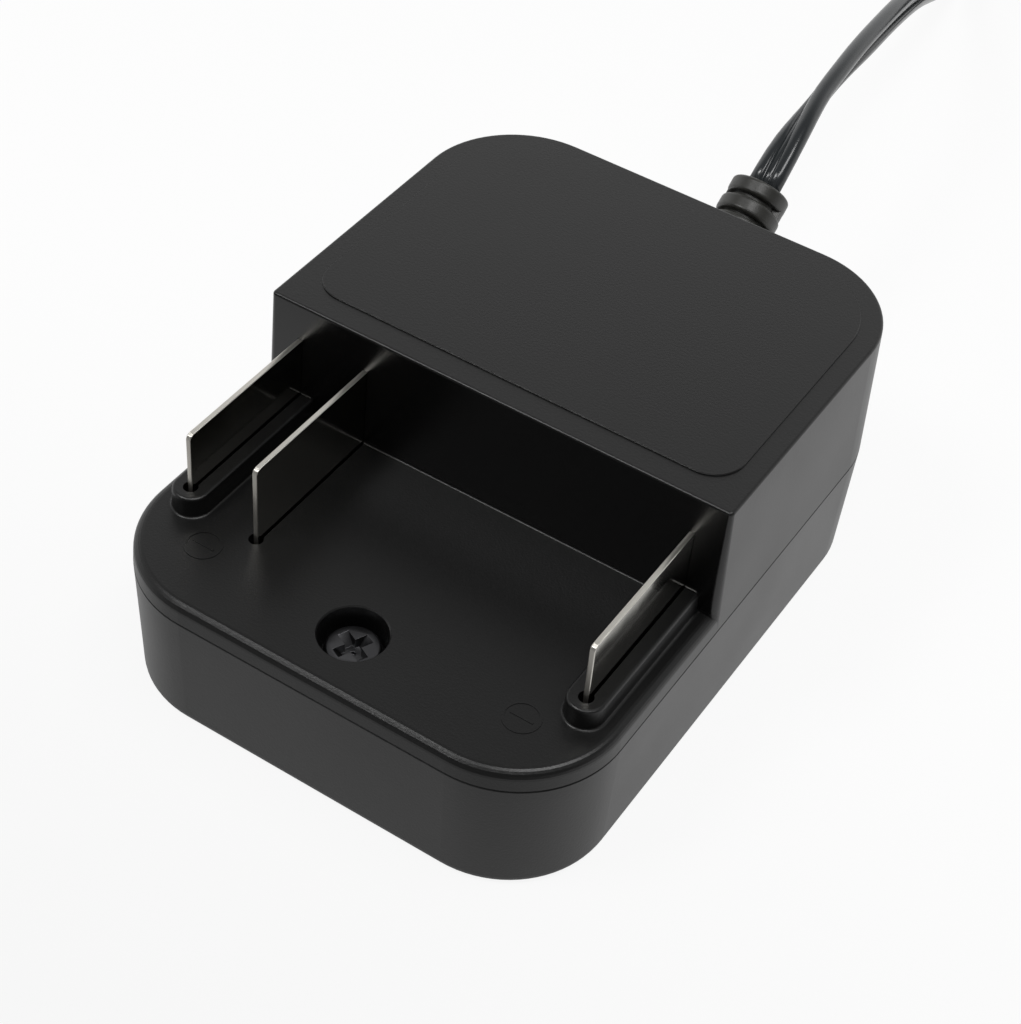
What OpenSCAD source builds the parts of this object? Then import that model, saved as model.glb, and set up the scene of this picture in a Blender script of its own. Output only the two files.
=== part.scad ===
// Battery charging dock: a two-part moulded housing with a low shelf in front
// of a raised block, three upright contact blades that a slide-on battery pack
// meets, and a flat twin lead with a round direct-current plug.
//
// Origin: middle of the housing's underside. +X is to the right, +Y to the
// back, where the lead leaves, and +Z is up. Everything is in millimetres.

/* [Housing] */
// Width at the joint between the two shells
body_w = 60; // [54:1:70]
// Depth at the joint between the two shells
body_d = 78; // [74:1:90]
// Radius of the upright corners
corner_r = 13; // [8:0.5:16]
// Height of the joint between the two shells
joint_z = 16.2; // [15:0.1:18]
// Thickness of the shelf's slab above the joint
shelf_rise = 2.7; // [2.6:0.1:4]
// Height of the raised block above the shelf
block_rise = 15.1; // [13:0.1:22]
// Distance from the front edge to the foot of the block
shelf_d = 32.4; // [31:0.1:36]
// Side walls
wall = 2; // [1.6:0.1:2.4]
// Floor, shelf and roof thickness
plate_t = 2.2; // [1.8:0.1:2.6]
// Slope of every moulded face, as a share of its height
draft = 0.03; // [0:0.005:0.04]
// Rounding of the floor's edge
floor_edge = 1.2; // [0.4:0.1:1.6]
// Rounding of the shelf's top edge
shelf_edge = 1.1; // [0.3:0.1:1.3]
// Rounding of the block's top edges
block_edge = 0.35; // [0.2:0.05:1]
// Radius at the block's two upright front edges, inside that rounding
block_corner_r = 0.2; // [0.1:0.1:2]
// Fillet along the block's foot
foot_r = 0.25; // [0.15:0.05:0.5]
// Chamfer on each shell where they meet
seam = 0.15; // [0.1:0.05:0.3]
// Height of the tongue that lines the shells up
tongue_h = 1.2; // [0.8:0.1:1.6]
// Thickness of that tongue
tongue_t = 0.9; // [0.6:0.1:1]
// Clearance between moulded pieces that fit in each other
fit_gap = 0.1; // [0.05:0.05:0.2]

/* [Marking panel] */
// Height of the raised panel on the block's top
panel_rise = 0.2; // [0.1:0.05:0.5]
// Margin at the sides and the back
panel_margin = 2.6; // [2:0.1:5]
// Margin at the front
panel_front = 3.3; // [2:0.1:6]
// Radius of its two front corners
panel_r = 4; // [2:0.5:6]

/* [Contact blades] */
// Distance of the two power blades from the housing's sides
power_inset = 4.6; // [4.2:0.1:6]
// Distance of the signal blade from the left power blade
signal_step = 8.9; // [7:0.1:14]
// Sheet thickness
blade_t = 0.65; // [0.5:0.05:1]
// Height above the shelf
blade_h = 10.3; // [8:0.1:13]
// Distance from the front edge of the housing to the blades
blade_front = 12.8; // [12:0.2:15]
// Chamfer of the upper front corner
blade_chamfer = 0.6; // [0.4:0.1:2]
// Width of the guide rib round a power blade
rib_w = 4.6; // [4:0.1:5]
// Height of that rib
rib_h = 2.7; // [2:0.1:5]
// Space between a blade and the sides of its slot
slot_gap = 0.2; // [0.1:0.05:0.4]
// Radius of the round hole at the slot's front end
slot_hole_r = 0.85; // [0.7:0.05:1.1]
// Width of a solder tab
tab_w = 2.4; // [1.6:0.2:3]

/* [Housing screw] */
// Distance from the front edge to the screw
screw_y = 8; // [7.5:0.1:9]
// Counterbore radius
sink_r = 3.85; // [3.7:0.05:4.3]
// Counterbore depth
sink_depth = 4.3; // [4:0.1:5]
// Radius of the screw's head
head_r = 3.15; // [2.9:0.05:3.5]
// Height of the head
head_h = 2.3; // [1.8:0.1:2.6]
// Radius of the shank
shank_r = 1.5; // [1.2:0.05:1.6]
// Length of the shank
shank_l = 10; // [8:0.5:11]
// Radius of the boss that takes the screw
boss_r = 3.5; // [3:0.1:3.8]
// Radius of the two moulded polarity marks
mark_r = 2.15; // [2:0.05:3]
// Distance of those marks from the power blades
mark_step = 4.9; // [3.5:0.1:6]

/* [Circuit board] */
// Height of the board's underside
board_z = 6; // [5:0.5:7]
// Board thickness
board_t = 1.6; // [1:0.1:1.6]
// Space between the board and the side walls
board_side = 1; // [0.8:0.1:1.6]
// Space between the board and the back wall
board_back = 4.5; // [4.2:0.1:6]
// Radius of the standoffs
standoff_r = 2.5; // [2.2:0.1:2.7]
// Capacitor radius
cap_r = 5; // [4:0.5:6]
// Capacitor height
cap_h = 16; // [10:0.5:20]
// Diode body radius
diode_r = 2.6; // [1.5:0.1:3]
// Diode body length
diode_l = 9; // [6:0.5:9.5]
// Fuse disc radius
fuse_r = 3.7; // [2.5:0.1:5]

/* [Lead and plug] */
// Radius of the strain relief's last ring
relief_r = 3.95; // [3.4:0.05:4.2]
// How much each ring before it is larger
ring_step = 0.15; // [0:0.01:0.2]
// Radius of its neck, which the two shells clamp
neck_r = 3; // [2.8:0.1:3.4]
// Length outside the wall, along its middle
relief_l = 20.4; // [18:0.2:24]
// Rings outside the wall
relief_rings = 7; // [5:1:8]
// Width of the flat twin lead
cord_w = 4.5; // [4:0.1:5]
// Thickness of the flat twin lead
cord_t = 2.4; // [2:0.1:2.8]
// Radius of the plug's grip
grip_r = 5; // [4.6:0.1:5.6]
// Length of the plug's grip
grip_l = 24; // [18:1:30]
// Outer radius of the plug's sleeve
sleeve_r = 2.75; // [2:0.05:2.75]
// Inner radius of the plug's centre contact
pin_r = 1.05; // [0.8:0.05:1.25]
// Length of the plug's sleeve
sleeve_l = 9.5; // [8:0.5:12]

/* [Hidden] */
$fn = 64;

eps = 0.01;
front_y = -body_d / 2;
back_y = body_d / 2;
shelf_z = joint_z + shelf_rise;
block_z = shelf_z + block_rise;
block_y = front_y + shelf_d;
under_shelf = shelf_z - plate_t;
back_wall_y = back_y - wall;

blade_y = front_y + blade_front;
blade_end = block_y + 0.8;
blade_top = shelf_z + blade_h;
power_x = body_w / 2 - power_inset;
signal_x = power_x - signal_step;
rib_r = rib_w / 2;
rib_edge = 0.35;
rib_foot = 0.3;
slot_r = blade_t / 2 + slot_gap;
groove_gap = 0.05;
shoulder_h = 2.6;
tab_below = 1;
tab_ys = [blade_y + 4, blade_end - 5];

screw_at = [0, front_y + screw_y];
head_seat = shelf_z - sink_depth;
sink_floor = 1.5;
sink_rim = 0.15;
sleeve_wall = 1.5;
boss_top = head_seat - sink_floor;
mark_x = power_x - mark_step;
mark_rise = 0.06;

board_top = board_z + board_t;
board_w = body_w - 2 * wall - 2 * board_side;
board_y0 = screw_at[1] + boss_r + 2;
board_y1 = back_wall_y - board_back;
standoffs = [[-11, board_y0 + 4], [11, board_y0 + 4],
             [-board_w / 2 + 7, board_y1 - 6], [board_w / 2 - 7, board_y1 - 6]];
board_screw_r = 1.1;
board_screw_l = 5;

cap_at = [-12, board_y1 - 16.5];
diode_at = [13, board_y1 - 26.5];
fuse_at = [12, board_y1 - 13.5];
sense_at = [2, board_y1 - 28.5];
pull_up_at = [-6, board_y0 + 11.5];
chip_at = [6, board_y0 + 11.5];
diode_reach = 7.5;
sense_r = 1.6;
sense_l = 8;
sense_reach = 6.5;
pull_up_r = 1.2;
pull_up_l = 5.5;
pull_up_reach = 5;

// The upper shell's hooks, which hold the shells together at the back
hook_x = 13;
hook_w = 6;
hook_t = 1.4;
hook_drop = 4.5;
hook_bite = 0.8;
hook_root = 8;

flange_t = 1.8;
relief_tail = 2;
relief_dip = 8;
relief_tip = 38;
wall_gap = 0.8;
ring_share = 0.71;
ring_pitch = (relief_l - wall_gap) / (relief_rings - 1 + ring_share);
ring_t = ring_share * ring_pitch;
ring_edge = 0.45;
last_ring = (relief_rings - 1) * ring_pitch + wall_gap;
bridge_w = 3.2;
bridge_turn = 15;
flange_r = 4.3;
hole_r = neck_r + fit_gap;

wire_r = 0.8;
wire_x = 1.3;
wire_bend = 4;
wire_y = back_wall_y - flange_t - relief_tail - fit_gap;
wire_drop = 6;

// Height of the lead's middle where it lies on its edge
lie = cord_w / 2;

// The lead's route from the strain relief to the coil, and from the coil to
// the plug, along the middle of the lead
route = [[-0.4, 65.2, 27.3], [-1.3, 74.6, 28.3], [-1.9, 83.1, 28.5], [-2.5, 92, 27.9],
         [-3.5, 102.5, 26.4], [-5, 114, 23.2], [-6.7, 125.1, 18.5],
         [-8.6, 137, 13.2], [-11, 148, 8], [-13.4, 159, 4.4],
         [-15.6, 169.5, lie + 0.3], [-17.4, 180, lie], [-18, 190, lie],
         [-18, 201, lie]];
tail_route = [[-20.5, 201, 3 * lie], [-20.5, 209, 3 * lie], [-20, 217.5, 3 * lie - 0.5],
              [-17.8, 225.5, 6], [-13.2, 232, grip_r + 0.4],
              [-7, 236, grip_r + 0.1], [0, 237.5, grip_r]];
coil_at = [12, 201];
coil_mid = 27.5;
coil_turns = 3;
coil_layers = 2;
coil_in = coil_mid - coil_turns * cord_t / 2;
coil_out = coil_mid + coil_turns * cord_t / 2;
coil_h = coil_layers * cord_w;
tie_t = 0.8;
tie_w = 9;
tie_turn = 40;
plug_at = [0, 237.5, grip_r];
plug_tail = 9;
insulator_r = 2.1;
contact_r = 1.35;

// ---- profiles and sweeps -------------------------------------------------

// Points of a quarter round from one direction to another, as [inset, height]
function quarter(c, r, from, to, steps = 6) =
    [for (i = [0:steps]) let (a = from + (to - from) * i / steps)
        [c[0] + r * cos(a), c[1] + r * sin(a)]];

// A profile of [inset, height] points carried round a rounded rectangle with
// its own front and back corner radii: four quarter revolves and three straight
// stretches that meet them face to face
module swept(w, y0, y1, rf, rb, profile) {
    last = len(profile) - 1;
    bottom = profile[0][1];
    top = profile[last][1];
    half = [for (p = profile) [w / 2 - p[0], p[1]]];
    mirrored = [for (i = [last:-1:0]) [-half[i][0], half[i][1]]];
    // the full width between the corners
    translate([0, y1 - rb, 0])
        rotate([90, 0, 0])
            linear_extrude(height = y1 - rb - y0 - rf)
                polygon(concat(half, mirrored));
    // the front and back between the corners
    translate([-(w / 2 - rf), 0, 0])
        rotate([90, 0, 90])
            linear_extrude(height = w - 2 * rf)
                polygon(concat([for (p = profile) [y0 + p[0], p[1]]],
                               [[y0 + rf, top], [y0 + rf, bottom]]));
    translate([-(w / 2 - rb), 0, 0])
        rotate([90, 0, 90])
            linear_extrude(height = w - 2 * rb)
                polygon(concat([for (p = profile) [y1 - p[0], p[1]]],
                               [[y1 - rb, top], [y1 - rb, bottom]]));
    // the corners
    for (c = [[w / 2 - rf, y0 + rf, rf, -90], [-w / 2 + rf, y0 + rf, rf, 180],
              [w / 2 - rb, y1 - rb, rb, 0], [-w / 2 + rb, y1 - rb, rb, 90]])
        translate([c[0], c[1], 0])
            rotate([0, 0, c[3]])
                rotate_extrude(angle = 90)
                    polygon(concat([for (p = profile) [c[2] - p[0], p[1]]],
                                   [[0, top], [0, bottom]]));
}

// A flat plate with rounded corners
module plate(w, y0, y1, rf, rb, z0, z1) {
    swept(w, y0, y1, rf, rb, [[0, z0], [0, z1]]);
}

// A slot shape with a round front end, and a back end with its own radius
module obround(x, y0, y1, half_w, end_r, z0, z1) {
    translate([x, y0 + half_w, z0])
        cylinder(r = half_w, h = z1 - z0);
    translate([x - half_w, y0 + half_w, z0])
        cube([2 * half_w, y1 - y0 - half_w - end_r, z1 - z0]);
    translate([x - half_w + end_r, y1 - end_r - eps, z0])
        cube([2 * (half_w - end_r), end_r + eps, z1 - z0]);
    for (s = [-1, 1])
        translate([x + s * (half_w - end_r), y1 - end_r, z0])
            cylinder(r = end_r, h = z1 - z0);
}

// ---- housing -------------------------------------------------------------

module lower_outside() {
    swept(body_w, front_y, back_y, corner_r, corner_r,
          concat(quarter([draft * joint_z + floor_edge, floor_edge], floor_edge, 270, 180),
                 [[0, joint_z - seam], [seam, joint_z]]));
}

module lower_inside() {
    swept(body_w, front_y, back_y, corner_r, corner_r,
          [[wall + draft * joint_z, plate_t], [wall, joint_z + eps]]);
}

// The tongue on the lower shell, or the rebate for it when it is grown
module tongue(grow) {
    difference() {
        plate(body_w - 2 * (wall - tongue_t - grow), front_y + wall - tongue_t - grow,
              back_y - wall + tongue_t + grow, corner_r - wall + tongue_t + grow,
              corner_r - wall + tongue_t + grow, joint_z - eps, joint_z + tongue_h + grow);
        plate(body_w - 2 * wall, front_y + wall, back_y - wall, corner_r - wall,
              corner_r - wall, joint_z - 1, joint_z + tongue_h + 1);
    }
}

module relief_hole() {
    translate([0, back_y - wall - tongue_t - 1, joint_z])
        rotate([-90, 0, 0])
            cylinder(r = hole_r, h = wall + tongue_t + 2);
}

module lower_shell() color("#1d1d1e") {
    difference() {
        union() {
            difference() {
                lower_outside();
                lower_inside();
            }
            tongue(0);
            screw_boss();
            board_posts();
        }
        relief_hole();
        translate([screw_at[0], screw_at[1], plate_t + 1])
            cylinder(r = shank_r + 0.05, h = boss_top);
        for (p = standoffs)
            translate([p[0], p[1], plate_t - 0.5])
                cylinder(r = board_screw_r + 0.05, h = board_z);
        // windows that the upper shell's hooks bite into
        for (s = [-1, 1])
            translate([s * hook_x - hook_w / 2 - fit_gap, back_wall_y - 1,
                       joint_z - hook_drop - fit_gap])
                cube([hook_w + 2 * fit_gap, 1 + hook_bite + fit_gap, 1.6]);
        // the tongue is broken where the hooks and the flange pass
        for (s = [-1, 1])
            translate([s * hook_x - hook_w / 2 - 0.4, back_wall_y - 1, joint_z])
                cube([hook_w + 0.8, wall, tongue_h + 1]);
        translate([-flange_r - 0.2, back_wall_y - 1, joint_z])
            cube([2 * flange_r + 0.4, wall, tongue_h + 1]);
    }
}

module screw_boss() {
    translate([screw_at[0], screw_at[1], plate_t - eps])
        cylinder(r = boss_r, h = boss_top - plate_t + eps);
    // four gussets
    for (a = [0, 90, 180, 270])
        translate([screw_at[0], screw_at[1], 0])
            rotate([0, 0, a + 45])
                rotate([90, 0, 0])
                    translate([0, 0, -0.6])
                        linear_extrude(height = 1.2)
                            polygon([[boss_r - 0.5, plate_t - eps], [boss_r + 1.6, plate_t - eps],
                                     [boss_r - 0.5, boss_top - 3]]);
}

module board_posts() {
    for (p = standoffs)
        translate([p[0], p[1], plate_t - eps])
            cylinder(r = standoff_r, h = board_z - plate_t + eps);
}

module shelf_outside() {
    swept(body_w, front_y, back_y, corner_r, corner_r,
          concat([[seam, joint_z], [0, joint_z + seam]],
                 quarter([draft * shelf_rise + shelf_edge, shelf_z - shelf_edge],
                         shelf_edge, 180, 90)));
}

module block_outside() {
    rise = block_z - joint_z;
    front_r = block_corner_r + block_edge + draft * rise;
    swept(body_w, block_y - draft * shelf_rise, back_y, front_r, corner_r,
          concat([[seam, joint_z], [0, joint_z + seam]],
                 quarter([draft * rise + block_edge, block_z - block_edge],
                         block_edge, 180, 90)));
}

module shelf_inside() {
    plate(body_w - 2 * wall, front_y + wall, back_y - wall, corner_r - wall,
          corner_r - wall, joint_z - 1, under_shelf);
}

module block_inside() {
    lean = draft * block_rise;
    swept(body_w - 2 * wall, block_y + wall, back_y - wall, 0.4 + lean, corner_r - wall,
          [[0, joint_z - 1], [lean, block_z - plate_t]]);
}

module panel() {
    lean = draft * (block_z - joint_z);
    m = panel_margin + lean;
    bevel = panel_rise / 2;
    swept(body_w - 2 * m, block_y + lean + panel_front - draft * shelf_rise, back_y - m,
          panel_r, corner_r - m,
          [[0, block_z - plate_t / 2], [0, block_z + panel_rise - bevel],
           [bevel, block_z + panel_rise]]);
}

// A fillet between the block's front and a level face at this height
module foot_fillet(x0, x1, z) {
    face = block_y + draft * (z - shelf_z);
    difference() {
        translate([x0, face - foot_r, z - eps])
            cube([x1 - x0, foot_r + 0.2, foot_r + eps]);
        translate([x0 - 1, face - foot_r, z + foot_r])
            rotate([0, 90, 0])
                cylinder(r = foot_r, h = x1 - x0 + 2);
    }
}

// The sleeve under the shelf that the screw's head sits in
module screw_sleeve() {
    translate([screw_at[0], screw_at[1], boss_top])
        cylinder(r = sink_r + sleeve_wall, h = shelf_z - plate_t - boss_top + eps);
}

module guide_rib(x) {
    front = blade_y + 0.35;
    lean = draft * rib_h;
    half = concat([[rib_r + rib_foot, shelf_z - eps]],
                  quarter([rib_r + rib_foot, shelf_z + rib_foot], rib_foot, 270, 180, 4),
                  quarter([rib_r - lean - rib_edge, shelf_z + rib_h - rib_edge],
                          rib_edge, 0, 90, 4));
    mirrored = [for (i = [len(half) - 1:-1:0]) [-half[i][0], half[i][1]]];
    translate([x, front, 0])
        rotate([0, 0, 180])
            rotate_extrude(angle = 180)
                polygon(concat(half, [[0, shelf_z + rib_h], [0, shelf_z - eps]]));
    translate([x, block_y + 0.5, 0])
        rotate([90, 0, 0])
            linear_extrude(height = block_y + 0.5 - front)
                polygon(concat(half, mirrored));
    foot_fillet(x - rib_r + 0.5, x + rib_r - 0.5, shelf_z + rib_h);
}

// The slot through the rib and the shelf, which goes on up the block's front as
// a tight groove that holds the blade's back edge
module blade_slot(x) {
    low = under_shelf - 1;
    high = shelf_z + rib_h + 1;
    half_groove = blade_t / 2 + groove_gap;
    obround(x, blade_y - slot_gap, block_y, slot_r, slot_r / 2, low, high);
    translate([x, blade_y + 0.1, low])
        cylinder(r = slot_hole_r, h = high - low);
    translate([x - half_groove, block_y - 1, low])
        cube([2 * half_groove, blade_end + groove_gap - block_y + 1,
              blade_top + groove_gap - low]);
}

module polarity_mark(x) {
    line_w = 0.3;
    rise = mark_rise + eps;
    translate([x, screw_at[1] + 0.8, shelf_z - eps]) {
        difference() {
            cylinder(r = mark_r, h = rise);
            translate([0, 0, -1])
                cylinder(r = mark_r - line_w, h = rise + 2);
        }
        translate([-0.65 * mark_r, -line_w / 2, 0])
            cube([1.3 * mark_r, line_w, rise]);
    }
}

module hook(x) {
    face = back_wall_y - fit_gap - draft * hook_drop;
    nose = back_wall_y + hook_bite - fit_gap;
    low = joint_z - hook_drop;
    root = back_wall_y + 0.4;
    translate([x - hook_w / 2, 0, 0])
        rotate([90, 0, 90])
            linear_extrude(height = hook_w)
                polygon([[face - hook_t, joint_z + hook_root], [face - hook_t, low],
                         [face - 0.4, low], [nose, low + 1], [nose, low + 1.3],
                         [face, low + 1.3], [face, joint_z + 0.5],
                         [root, joint_z + tongue_h + 1],
                         [root, joint_z + hook_root]]);
}

module upper_shell() color("#232324") {
    difference() {
        union() {
            difference() {
                union() {
                    shelf_outside();
                    block_outside();
                }
                shelf_inside();
                block_inside();
                tongue(fit_gap);
            }
            panel();
            screw_sleeve();
            foot_fillet(-body_w / 2 + 2, body_w / 2 - 2, shelf_z);
            for (s = [-1, 1]) {
                guide_rib(s * power_x);
                polarity_mark(s * mark_x);
                hook(s * hook_x);
            }
        }
        relief_hole();
        translate([screw_at[0], screw_at[1], head_seat])
            cylinder(r = sink_r, h = sink_depth + 1);
        translate([screw_at[0], screw_at[1], shelf_z - sink_rim])
            cylinder(r1 = sink_r, r2 = sink_r + 2 * sink_rim, h = 2 * sink_rim);
        translate([screw_at[0], screw_at[1], boss_top - 1])
            cylinder(r = shank_r + 0.3, h = sink_floor + 2);
        for (x = [-power_x, -signal_x, power_x])
            blade_slot(x);
    }
}

// ---- contact blades ------------------------------------------------------

module blade(x) {
    shoulder_top = under_shelf - 0.05;
    shoulder_low = shoulder_top - shoulder_h;
    tab_low = board_z - tab_below;
    y0 = blade_y;
    y1 = blade_end;
    translate([x - blade_t / 2, 0, 0])
        rotate([90, 0, 90])
            linear_extrude(height = blade_t)
                polygon(concat(
                    [[y0, shoulder_top], [y0, blade_top - blade_chamfer],
                     [y0 + 0.3 * blade_chamfer, blade_top - 0.3 * blade_chamfer],
                     [y0 + blade_chamfer, blade_top], [y1, blade_top],
                     [y1, shoulder_top], [y1 + 1, shoulder_top],
                     [y1 + 1, shoulder_low]],
                    [for (i = [1, 0]) let (t = tab_ys[i])
                        each [[t + tab_w / 2, shoulder_low], [t + tab_w / 2, tab_low],
                              [t - tab_w / 2, tab_low], [t - tab_w / 2, shoulder_low]]],
                    [[y0 - 1, shoulder_low], [y0 - 1, shoulder_top]]));
}

module left_power_blade() color("#c9c9c6") blade(-power_x);

module signal_blade() color("#c9c9c6") blade(-signal_x);

module right_power_blade() color("#c9c9c6") blade(power_x);

// ---- screws --------------------------------------------------------------

// A pan-head screw with a tapered cross recess, its seat at the origin
module pan_screw(r, h, shank, length) {
    cross_w = 0.4 * r;
    cross_l = 1.34 * r;
    cross_z = 0.45 * h;
    difference() {
        rotate_extrude()
            polygon(concat([[0, -length], [0.3 * shank, -length], [shank, -length + 1.6 * shank],
                            [shank, 0], [r, 0]],
                           [for (i = [0:6]) let (a = 90 * i / 6)
                               [0.87 * r + 0.13 * r * cos(a), 0.6 * h + 0.4 * h * sin(a)]],
                           [[0, h]]));
        for (a = [0, 90])
            rotate([0, 0, a])
                translate([0, cross_w / 2, 0])
                    rotate([90, 0, 0])
                        linear_extrude(height = cross_w)
                            polygon([[-cross_l / 4, cross_z], [cross_l / 4, cross_z],
                                     [cross_l / 2 + 0.1, h + 0.1], [-cross_l / 2 - 0.1, h + 0.1]]);
        translate([0, 0, 0.3 * h])
            cylinder(r1 = 0.08 * r, r2 = 0.3 * r, h = h);
    }
}

module housing_screw() color("#2b2b2c")
    translate([screw_at[0], screw_at[1], head_seat])
        rotate([0, 0, 65])
            pan_screw(head_r, head_h, shank_r, shank_l);

module board_screws() color("#8f9091")
    for (p = standoffs)
        translate([p[0], p[1], board_top])
            pan_screw(2 * board_screw_r, 1.4, board_screw_r, board_screw_l);

// ---- circuit board and what is on it ---------------------------------------

module circuit_board() color("#2f6b3c")
    difference() {
        plate(board_w, board_y0, board_y1, 3, corner_r - wall, board_z, board_top);
        for (p = standoffs)
            translate([p[0], p[1], board_z - 1])
                cylinder(r = board_screw_r + 0.2, h = board_t + 2);
        for (x = [-power_x, -signal_x, power_x])
            for (y = tab_ys)
                translate([x - blade_t / 2 - 0.1, y - tab_w / 2 - 0.1, board_z - 1])
                    cube([blade_t + 0.2, tab_w + 0.2, board_t + 2]);
    }

module capacitor() color("#26303f")
    translate([cap_at[0], cap_at[1], board_top])
        rotate_extrude()
            polygon([[0, 0], [cap_r - 0.4, 0], [cap_r, 0.4], [cap_r, 1.6],
                     [cap_r - 0.35, 2.1], [cap_r, 2.6], [cap_r, cap_h - 0.5],
                     [cap_r - 0.5, cap_h], [cap_r - 1, cap_h - 0.2], [0, cap_h - 0.2]]);

// A part with a wire at each end, bent down to the board
module axial_part(r, length, lead_r, reach, lift) {
    bend = 1.5;
    translate([0, length / 2, r + lift])
        rotate([90, 0, 0])
            cylinder(r = r, h = length);
    for (s = [0, 1])
        mirror([0, s, 0]) {
            translate([0, length / 2 - eps, r + lift])
                rotate([-90, 0, 0])
                    cylinder(r = lead_r, h = reach - bend - length / 2 + eps);
            translate([0, reach - bend, r + lift - bend])
                rotate([0, -90, 0])
                    rotate_extrude(angle = 90)
                        translate([bend, 0])
                            circle(r = lead_r);
            translate([0, reach, 0])
                cylinder(r = lead_r, h = r + lift - bend);
        }
}

module power_diode() color("#1c1c1c")
    translate([diode_at[0], diode_at[1], board_top])
        axial_part(diode_r, diode_l, 0.6, diode_reach, 0.2);

module sense_resistor() color("#b59a6a")
    translate([sense_at[0], sense_at[1], board_top])
        axial_part(sense_r, sense_l, 0.4, sense_reach, 0.2);

module pull_up_resistor() color("#8fb4c9")
    translate([pull_up_at[0], pull_up_at[1], board_top])
        axial_part(pull_up_r, pull_up_l, 0.3, pull_up_reach, 0.5);

module fuse() color("#c8a02c")
    translate([fuse_at[0], fuse_at[1], board_top]) {
        translate([0, 1.5, fuse_r + 1])
            rotate([90, 0, 0])
                cylinder(r = fuse_r, h = 3);
        for (s = [-1, 1])
            translate([s * 2.5, 0, 0])
                cylinder(r = 0.4, h = 2.6);
    }

module charge_chip() color("#17181a")
    translate([chip_at[0], chip_at[1], board_top]) {
        translate([-2, -2.5, 0.15])
            cube([4, 5, 1.5]);
        for (s = [-1, 1])
            for (i = [0:3])
                translate([s * 2.5 - 0.6, -2.1 + 1.27 * i, 0])
                    cube([1.2, 0.4, 0.5]);
    }

// A conductor from the strain relief's inner end down to the board
module inner_wire(x) {
    translate([x, wire_y - wire_drop, joint_z])
        rotate([-90, 0, 0])
            cylinder(r = wire_r, h = wire_drop);
    translate([x, wire_y - wire_drop, joint_z - wire_bend])
        rotate([0, -90, 0])
            rotate([0, 0, -90])
                rotate_extrude(angle = 90)
                    translate([wire_bend, 0])
                        circle(r = wire_r);
    translate([x, wire_y - wire_drop - wire_bend, board_top])
        cylinder(r = wire_r, h = joint_z - wire_bend - board_top);
}

module positive_wire() color("#b3261e") inner_wire(-wire_x);

module negative_wire() color("#141414") inner_wire(wire_x);

// ---- lead ------------------------------------------------------------------

// The strain relief's middle line outside the wall bends up evenly
function relief_angle(s) = relief_dip + (relief_tip - relief_dip) * s / relief_l;
function relief_point(s) =
    let (k = (relief_tip - relief_dip) / relief_l * PI / 180)
        [0, back_y + (sin(relief_angle(s)) - sin(relief_dip)) / k,
         joint_z + (cos(relief_dip) - cos(relief_angle(s))) / k];
function relief_way(s) = [0, cos(relief_angle(s)), sin(relief_angle(s))];

module along_relief(s) {
    translate(relief_point(s))
        rotate([relief_angle(s), 0, 0])
            rotate([-90, 0, 0])
                children();
}

// A ring with eased edges
module relief_ring(r) {
    rotate_extrude()
        polygon(concat([[0, 0]], quarter([r - ring_edge, ring_edge], ring_edge, -90, 0, 4),
                       quarter([r - ring_edge, ring_t - ring_edge], ring_edge, 0, 90, 4),
                       [[0, ring_t]]));
}

// The core between two rings, and the bridge at each side that joins them
module relief_link(r, length) {
    cylinder(r = r - 1.1, h = length);
    intersection() {
        cylinder(r = r - 0.2, h = length);
        for (s = [0, 1])
            mirror([s, 0, 0])
                rotate([0, 0, bridge_turn])
                    translate([0, -bridge_w / 2, 0])
                        cube([r, bridge_w, length]);
    }
}

module strain_relief() color("#1b1b1c") {
    // inner flange, and the tail that the conductors leave
    translate([0, back_wall_y - flange_t - fit_gap - relief_tail, joint_z])
        rotate([-90, 0, 0]) {
            cylinder(r = neck_r,
                     h = relief_tail + flange_t + wall + fit_gap + wall_gap + 0.7);
            translate([0, 0, relief_tail])
                cylinder(r = flange_r, h = flange_t);
        }
    for (i = [0:relief_rings - 1]) {
        r = relief_r + ring_step * (relief_rings - 1 - i);
        along_relief(i * ring_pitch + wall_gap)
            relief_ring(r);
        if (i < relief_rings - 1)
            along_relief(i * ring_pitch + wall_gap + ring_t / 2)
                relief_link(r, ring_pitch);
    }
}

// The points a tube's rings lie on: a ring across the route at each point
function unit(v) = v / norm(v);
function route_way(p, i) =
    unit(i == 0 ? p[1] - p[0] :
         i == len(p) - 1 ? p[i] - p[i - 1] : p[i + 1] - p[i - 1]);
function route_side(w) = unit(cross(w, [0, 0, 1]));
function ring_points(c, w, r, n) =
    let (a = route_side(w), b = cross(a, w))
        [for (i = [0:n - 1]) c + r * cos(360 * (i + 0.5) / n) * a
                               + r * sin(360 * (i + 0.5) / n) * b];

// A closed tube through the route's points
module route_tube(p, r, n = 8, first_way = undef, last_way = undef) {
    count = len(p);
    points = [for (i = [0:count - 1])
        let (w = i == 0 && !is_undef(first_way) ? first_way :
                 i == count - 1 && !is_undef(last_way) ? last_way : route_way(p, i))
            each ring_points(p[i], w, r, n)];
    sides = [for (i = [0:count - 2]) for (j = [0:n - 1])
        let (k = (j + 1) % n)
            each [[i * n + j, i * n + k, (i + 1) * n + k],
                  [i * n + j, (i + 1) * n + k, (i + 1) * n + j]]];
    polyhedron(points = points,
               faces = concat([[for (j = [n - 1:-1:0]) j]], sides,
                              [[for (j = [0:n - 1]) (count - 1) * n + j]]));
}

module cord_run() color("#2a2a2c")
    route_tube(concat([relief_point(last_ring) + ring_t * relief_way(last_ring)], route),
               cord_w / 2, first_way = relief_way(last_ring), last_way = [0, 1, 0]);

module cord_tail() color("#2a2a2c")
    route_tube(tail_route, cord_w / 2, first_way = [0, 1, 0], last_way = [1, 0, 0]);

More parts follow.
